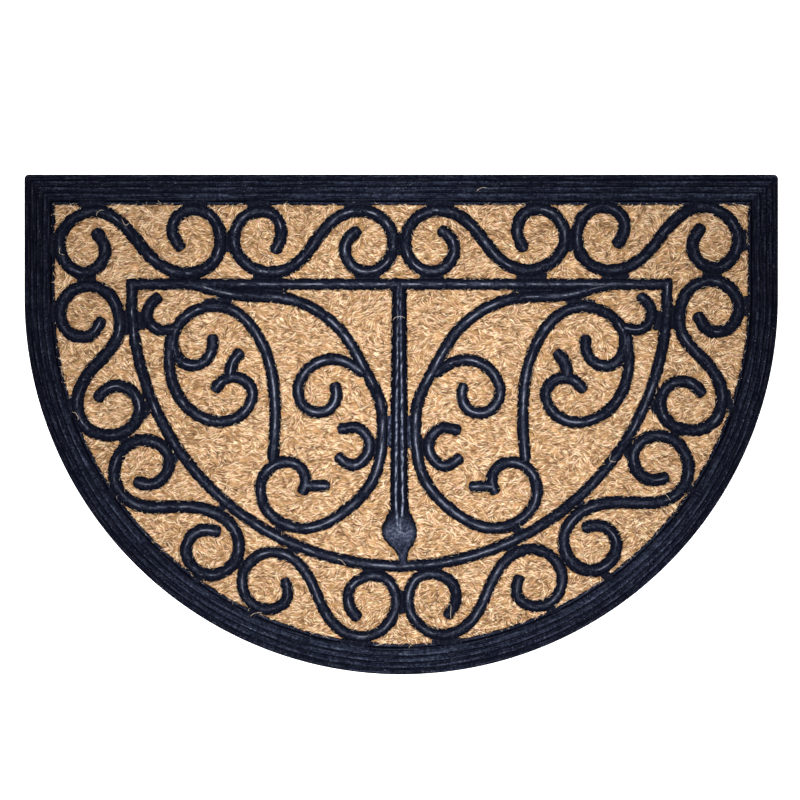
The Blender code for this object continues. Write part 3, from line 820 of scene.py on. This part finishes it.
reach = WIDTH / 2 - COIR_INSET
columns = np.linspace(-1, 1, ceil(2 * reach / SHEET_STEP) + 1)
straight = np.linspace(COIR_INSET, SIDE, ceil((SIDE - COIR_INSET) / SHEET_STEP), endpoint=False)
fall = 1 - np.linspace(1, 0, ceil(reach * 1.1 / SHEET_STEP)) ** 1.25
rows = np.concatenate([straight, SIDE + fall * np.sqrt(reach**2 - SHEET_END**2)])[:, None]
across = np.sqrt(reach**2 - np.clip(rows - SIDE, 0, None) ** 2) * columns
down = np.broadcast_to(rows, across.shape)
top = on_mat(across, down, coir_top(across, down)).reshape(-1, 3)
index = np.arange(top.shape[0]).reshape(across.shape)
quads = np.stack([index[:-1, :-1], index[1:, :-1], index[1:, 1:], index[:-1, 1:]], axis=-1)
rim = np.concatenate([index[0, :-1], index[:-1, -1], index[-1, :0:-1], index[:0:-1, 0]])
foot = len(top) + np.arange(len(rim))
wall = np.stack([rim, np.roll(rim, -1), np.roll(foot, -1), foot], axis=-1)
bottom = top[rim] * (1, 1, 0) + (0, 0, COIR_UNDER * MM)
mesh = bpy.data.meshes.new("coir_sheet")
mesh.from_pydata(
    np.concatenate([top, bottom]), [],
    quads.reshape(-1, 4).tolist() + wall.tolist() + [foot.tolist()],
)
mesh.shade_smooth()
chosen, seam = tufts(across, down)
# Painted shade: the sheet is painted darker at the seams between tufts.
tone = 0.3 + 0.2 * np.clip(seam / TUFT_EDGE, 0, 1) + 0.1 * chosen[..., 3]
layer = mesh.attributes.new("tone", "FLOAT", "POINT")
layer.data.foreach_set("value", np.concatenate([tone.ravel(), np.full(len(rim), 0.2)]))
# The sheet's colours are darker than the fibres': painted shade where it shows between them.
mesh.materials.append(coir_finish(
    "pressed coir, painted dark as shade between the fibres",
    ("2A1D12", "5F4730", "94734F", "BC9770", "DDBE99"), 0.8, 6.0, 0.5,
))
coir_sheet = bpy.data.objects.new("coir_sheet", mesh)
bpy.context.scene.collection.objects.link(coir_sheet)
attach(coir_sheet, "root")
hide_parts("coir_mat")

# Coir fibres: the loose face of the mat, matted in layers over the sheet, with dark fibres and a
# few long ones on top. The dark fibres, and a few in every layer, are painted shade for the dark
# gaps between fibres, and the lower layers are painted darker, as shade deeper in the pile.
# Coconut husk fibre, stiff and slightly curled, in tufts that mostly run along the mat. A real
# one is 0.1 to 0.4 mm thick: here they lie in wisps, up to 0.54 mm thick.

SHORT, CURVED = np.array((-0.5, 0.0, 0.5)), np.array((-0.5, -0.19, 0.19, 0.5))
LAYERS = (  # name, wisps, shares of its length, lift, length, thickness, tone and spread, seed
    ("coir_fibres_low", 8000, SHORT, (0.0, 0.3), (4, 8), (0.36, 0.54), 0.58, 0.12, 81),
    ("coir_fibres_middle", 9000, SHORT, (0.15, 0.55), (4, 9), (0.3, 0.44), 0.66, 0.13, 82),
    ("coir_fibres_fine", 9500, SHORT, (0.25, 0.7), (3, 6), (0.25, 0.36), 0.7, 0.15, 83),
    ("coir_fibres_top", 7600, CURVED, (0.35, 0.85), (3.5, 8.5), (0.24, 0.35), 0.75, 0.16, 84),
    ("coir_fibres_painted_shade", 3500, CURVED, (0.75, 1.05), (3, 7.5), (0.3, 0.44), 0.04, 0.05, 85),
    ("coir_fibres_long", 1500, CURVED, (0.8, 1.15), (8, 15), (0.22, 0.32), 0.8, 0.1, 86),
)
TO_A_WISP = 2
WISP_WIDTH = 0.24
# A share of each layer painted dark: painted shade, the gaps between fibres.
DARK_SHARE, DARK_TONE = 0.06, 0.15
TUFT_SPREAD = radians(18)
STEEP_SHARE, STEEP = 0.2, radians(58)
FIBRE_SPREAD, WISP_SPREAD = radians(21), radians(4)
CURL = 0.6
END_DIP = 0.35
BY_RUBBER, RUBBER_SHADE = 0.9, 0.36
BY_SEAM, SEAM_SHADE = 0.45, 0.25
# Painted highlight: fibres painted paler in a band out from the rubber, a halo beside its painted
# shade.
PALE_FROM, PALE_WIDTH, PALE_LIFT = 2.2, 0.9, 0.06


def strands(name, line, thickness, tone, material, replaces="coir_mat"):
    """One piece of closed needles: at each inner point of a fibre's line (count, points, 3), in
    millimetres, a triangle of radius thickness / 2 across it, and a single point at each end."""
    count, points = line.shape[:2]
    along = np.gradient(line, axis=1)
    along /= np.linalg.norm(along, axis=2, keepdims=True)
    side = np.cross((0, 0, 1), along)
    side /= np.linalg.norm(side, axis=2, keepdims=True)
    upward = np.cross(along, side)
    angles = np.radians((90, 210, 330))
    spoke = side[:, 1:-1, None] * np.cos(angles)[:, None] + upward[:, 1:-1, None] * np.sin(
        angles)[:, None]
    rings = line[:, 1:-1, None] + spoke * np.reshape(thickness, (-1, 1, 1, 1)) / 2
    inner = points - 2
    vertices = np.concatenate([line[:, :1], rings.reshape(count, -1, 3), line[:, -1:]], axis=1)
    start = 1 + 3 * np.arange(inner)[:, None]
    a, b = start + np.arange(3), start + np.roll(np.arange(3), -1)
    faces = np.concatenate([
        np.stack([np.zeros(3, int), b[0], a[0]], axis=-1),
        np.stack([a[:-1], b[:-1], a[1:]], axis=-1).reshape(-1, 3),
        np.stack([b[:-1], b[1:], a[1:]], axis=-1).reshape(-1, 3),
        np.stack([np.full(3, 3 * inner + 1), a[-1], b[-1]], axis=-1),
    ])
    each = vertices.shape[1]
    faces = (faces + each * np.arange(count)[:, None, None]).reshape(-1, 3)
    mesh = bpy.data.meshes.new(name)
    mesh.vertices.add(count * each)
    mesh.vertices.foreach_set("co", (vertices * MM).astype(np.float32).ravel())
    mesh.loops.add(faces.size)
    mesh.loops.foreach_set("vertex_index", faces.astype(np.int32).ravel())
    mesh.polygons.add(len(faces))
    mesh.polygons.foreach_set("loop_start", np.arange(0, faces.size, 3, dtype=np.int32))
    mesh.update(calc_edges=True)
    mesh.shade_smooth()
    layer = mesh.attributes.new("tone", "FLOAT", "POINT")
    layer.data.foreach_set("value", np.repeat(tone, each).astype(np.float32))
    mesh.materials.append(material)
    piece = bpy.data.objects.new(name, mesh)
    bpy.context.scene.collection.objects.link(piece)
    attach(piece, "root")
    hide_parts(replaces)
    return piece


def scatter(count, draw, least_gap, most_gap=np.inf):
    """Random places on the visible coir, at least and at most so far from the rubber's edge."""
    found = np.zeros((0, 2))
    while len(found) < count:
        tries = draw.uniform((-reach - 1, LIP_EDGE - 1), (reach + 1, DEPTH - LIP_EDGE + 1),
                             (4 * count, 2))
        gap = clear_of_rubber(*tries.T)
        found = np.concatenate([found, tries[(gap > least_gap) & (gap < most_gap)]])
    return found[:count]


def bent(centres, heading, length, curl, shares):
    """Points along each fibre: centre + heading x s + normal x curl s^2 / length, for s a share
    of its length, as across and y = -down, in millimetres."""
    s = shares * length[:, None]
    bow = curl[:, None] * s**2 / length[:, None]
    x = centres[:, :1] + np.cos(heading)[:, None] * s - np.sin(heading)[:, None] * bow
    y = -centres[:, 1:] + np.sin(heading)[:, None] * s + np.cos(heading)[:, None] * bow
    return x, y


coir_fibre = coir_finish(
    "brown coir fibre, dry and matt",
    ("523621", "9D795A", "D5B598", "F1D8BC", "FFF2E0"), 3.0, 1.0, 0.16,
)
for name, count, shares, lifts, lengths, widths, middle_tone, spread, seed in LAYERS:
    draw = np.random.default_rng(seed)
    centres = scatter(count, draw, 0.1)
    chosen, seam = tufts(*centres.T)
    tilt = TUFT_SPREAD * np.clip(np.sqrt(3) * (2 * chosen[:, 2] - 1) * 1.2, -2, 2)
    steep = chosen[:, 4] < STEEP_SHARE
    tilt = np.where(steep, np.sign(chosen[:, 2] - 0.5) * STEEP, tilt)
    heading = tilt + FIBRE_SPREAD * draw.standard_normal(count)
    gap = clear_of_rubber(*centres.T)
    tone = np.where(draw.random(count) < DARK_SHARE, DARK_TONE, middle_tone)
    tone += spread * draw.standard_normal(count) + 0.05 * (chosen[:, 3] - 0.5)
    shade = RUBBER_SHADE * np.exp(-(gap / BY_RUBBER) ** 2)
    tone -= shade + SEAM_SHADE * np.exp(-(seam / BY_SEAM) ** 2)
    tone += PALE_LIFT * np.exp(-((gap - PALE_FROM) / PALE_WIDTH) ** 2)
    aside = np.tile((-WISP_WIDTH / 2, WISP_WIDTH / 2), count)[:, None]
    heading = np.repeat(heading, TO_A_WISP)
    centres = np.repeat(centres, TO_A_WISP, axis=0) + aside * np.stack(
        [np.sin(heading), np.cos(heading)], axis=1
    )
    count *= TO_A_WISP
    heading += WISP_SPREAD * draw.standard_normal(count)
    curl = CURL * np.repeat(draw.standard_normal(count // TO_A_WISP), TO_A_WISP)
    x, y = bent(centres, heading, draw.uniform(*lengths, count), curl, shares)
    lift = draw.uniform(*lifts, count)[:, None] - END_DIP * (2 * shares) ** 2
    line = np.stack([x, y + DEPTH / 2, coir_top(x, -y) + lift], axis=-1)
    tone = np.repeat(tone, TO_A_WISP) + 0.1 * draw.standard_normal(count)
    strands(
        name, line, draw.uniform(*widths, count), np.clip(tone, 0, 1), coir_fibre
    )

# Fuzz, stray fibres and crumbs: pale ends that poke out along the rubber and lap over its edges,
# a few long fibres that were shed and lie across the beads and the border, and crumbs of rubber.
# The same husk fibre, caught when the rubber was pressed, and flash that broke off in use.

FUZZ_COUNT = 5600
FUZZ_NEAR, FUZZ_FAR, FUZZ_SPREAD = -0.35, 1.0, radians(18)
FUZZ_LENGTH, FUZZ_WIDTH = (1.6, 4.6), (0.2, 0.32)
SLOPE_REACH = 0.6
STRAY_WIDTH, STRAY_TONE = 0.22, 0.85
CRUMBS = 150
CRUMB_LENGTH, CRUMB_WIDTH, CRUMB_LIFT = (0.9, 2.4), (0.5, 0.9), 0.85
STRAYS = (  # across and down at each end, and how far it bows, as a share of its length
    (-222, 35, -214.5, 35.5, -0.7), (-205, 16, -190, 25, 0.1), (-242, 34, -236, 29, 0.3),
    (-270.5, 58, -267, 64.5, -0.4), (-262, 189, -257, 196, 0.3), (-51, 306, -44, 313, 0.2),
    (-7, 116.5, 3.5, 115, 0.25), (-39, 289, -31, 297.5, 0.1), (-38.5, 296, -31.5, 290, 0.1),
    (27, 296.5, 37, 288.5, 0.1), (29, 289, 35.5, 297, -0.1), (167, 222, 171, 228.5, -0.5),
    (209.5, 254.5, 213.5, 259.5, 0.1), (-173.5, 220, -168.5, 228, 0.5), (39, 341, 38.5, 354, 0.05),
    (31, 361, 36, 357.5, 0.1), (-53, 308, -39, 313, -0.35), (4, 380.5, 8.5, 374, 0.1),
    (60, 14, 68, 11, 0.2), (-120, 352, -110, 349, 0.2), (112, 268, 121, 262, 0.3),
)


def resting(across, down):
    """Height of whatever a loose fibre lies on: the coir, the lip, or a bead's rounded side,
    FLASH_LEVEL + rise x sqrt(1 - (1 + gap / half)^2) where the gap is negative."""
    gap = beside_beads(across, down)
    inwards = np.clip(1 + gap / (FRAME_WIDTH / 2), 0, 1)
    bead = FLASH_LEVEL + (BEAD_CREST - FLASH_LEVEL) * np.sqrt(1 - inwards**2)
    ground = np.where(inside_lip(across, down) < 0, LIP_HEIGHT + 0.1, coir_top(across, down))
    return np.where(gap < 0, np.maximum(bead, ground), ground)


draw = np.random.default_rng(91)
centres = scatter(FUZZ_COUNT, draw, FUZZ_NEAR, FUZZ_FAR)
across, down = centres.T
right, left, up, below = (
    clear_of_rubber(across + x * SLOPE_REACH, down + y * SLOPE_REACH)
    for x, y in ((1, 0), (-1, 0), (0, -1), (0, 1))
)
along_rubber = np.arctan2(up - below, right - left) + pi / 2
x, y = bent(
    centres, along_rubber + FUZZ_SPREAD * draw.standard_normal(FUZZ_COUNT),
    draw.uniform(*FUZZ_LENGTH, FUZZ_COUNT), 0.4 * draw.standard_normal(FUZZ_COUNT), SHORT,
)
height = resting(x, -y) + draw.uniform(0, 0.25, (FUZZ_COUNT, 1))
tone = np.clip(0.8 + 0.16 * draw.standard_normal(FUZZ_COUNT), 0, 1)
strands(
    "coir_fuzz", np.stack([x, y + DEPTH / 2, height], axis=-1),
    draw.uniform(*FUZZ_WIDTH, FUZZ_COUNT), tone, coir_fibre,
)

ends = np.array(STRAYS)
share = np.linspace(0, 1, 12)
gone = ends[:, 2:4] - ends[:, :2]
bow = (4 * share * (1 - share) * ends[:, 4:] + 0.02 * np.sin(9 * share))[..., None]
normal = (gone[:, ::-1] * (1, -1))[:, None]
line = ends[:, None, :2] + share[:, None] * gone[:, None] + bow * normal
height = np.minimum(resting(line[..., 0], line[..., 1]) + 0.14, BEAD_CREST + 0.1)
line = np.stack([line[..., 0], DEPTH / 2 - line[..., 1], height], axis=-1)
strands(
    "stray_fibres", line, np.full(len(ends), STRAY_WIDTH), np.full(len(ends), STRAY_TONE),
    coir_fibre,
)

draw = np.random.default_rng(95)
centres = scatter(CRUMBS, draw, 0.8, 5)
x, y = bent(
    centres, draw.uniform(-pi, pi, CRUMBS), draw.uniform(*CRUMB_LENGTH, CRUMBS),
    0.3 * draw.standard_normal(CRUMBS), CURVED,
)
strands(
    "rubber_crumbs", np.stack([x, y + DEPTH / 2, coir_top(x, -y) + CRUMB_LIFT], axis=-1),
    draw.uniform(*CRUMB_WIDTH, CRUMBS), np.zeros(CRUMBS), rubber,
    "rubber_moulding",
)

# Floor, light and camera: the mat lies on a plain white sweep, under one soft light that fades
# towards its corners. The camera looks straight down, and frames it as the photograph does.
# These sizes and places are in metres.

FLOOR_SIZE = 12.0
FLOOR_DROP = 0.0002
LIGHT_PLACE = (-0.12, 0.16, 2.3)
CAMERA_PLACE = (-0.001, 0.0195, 2.0)
WIDTH_SEEN = 0.6366
SENSOR = 36.0  # millimetres

floor_material = bpy.data.materials.new("white painted board")
floor_material.use_nodes = True
tree = floor_material.node_tree
join_inputs(tree, tree.nodes["Principled BSDF"], {
    "Base Color": linear("F2F2F2"), "Roughness": 0.9, "Emission Color": linear("FFFFFF"),
    "Emission Strength": 0.8,
})
floor_mesh = bpy.data.meshes.new("floor")
corners = np.array(((-1, -1, 0), (1, -1, 0), (1, 1, 0), (-1, 1, 0))) * FLOOR_SIZE / 2
floor_mesh.from_pydata(corners.tolist(), [], [(0, 1, 2, 3)])
floor_mesh.materials.append(floor_material)
floor = bpy.data.objects.new("floor", floor_mesh)
floor.location.z = -FLOOR_DROP
bpy.context.scene.collection.objects.link(floor)

world = bpy.data.worlds.new("studio")
world.use_nodes = True
tree = world.node_tree
join_inputs(tree, tree.nodes["Background"], {"Color": linear("FFFFFF"), "Strength": 0.54})
bpy.context.scene.world = world
bpy.context.scene.view_settings.view_transform = "Standard"

soft_box = bpy.data.lights.new("soft box", "SPOT")
soft_box.spot_size = radians(26.5)
soft_box.spot_blend = 1.0
soft_box.shadow_soft_size = 0.3
soft_box.energy = 480.0
soft_box_object = bpy.data.objects.new("soft box", soft_box)
soft_box_object.location = LIGHT_PLACE
soft_box_object.rotation_euler = (radians(-4.6), radians(-3), 0)
bpy.context.scene.collection.objects.link(soft_box_object)

camera_data = bpy.data.cameras.new("camera")
camera_data.sensor_width = SENSOR
camera_data.lens = SENSOR * (CAMERA_PLACE[2] - TREADS[0][1] * MM) / WIDTH_SEEN
camera = bpy.data.objects.new("camera", camera_data)
camera.location = CAMERA_PLACE
bpy.context.scene.collection.objects.link(camera)
bpy.context.scene.camera = camera
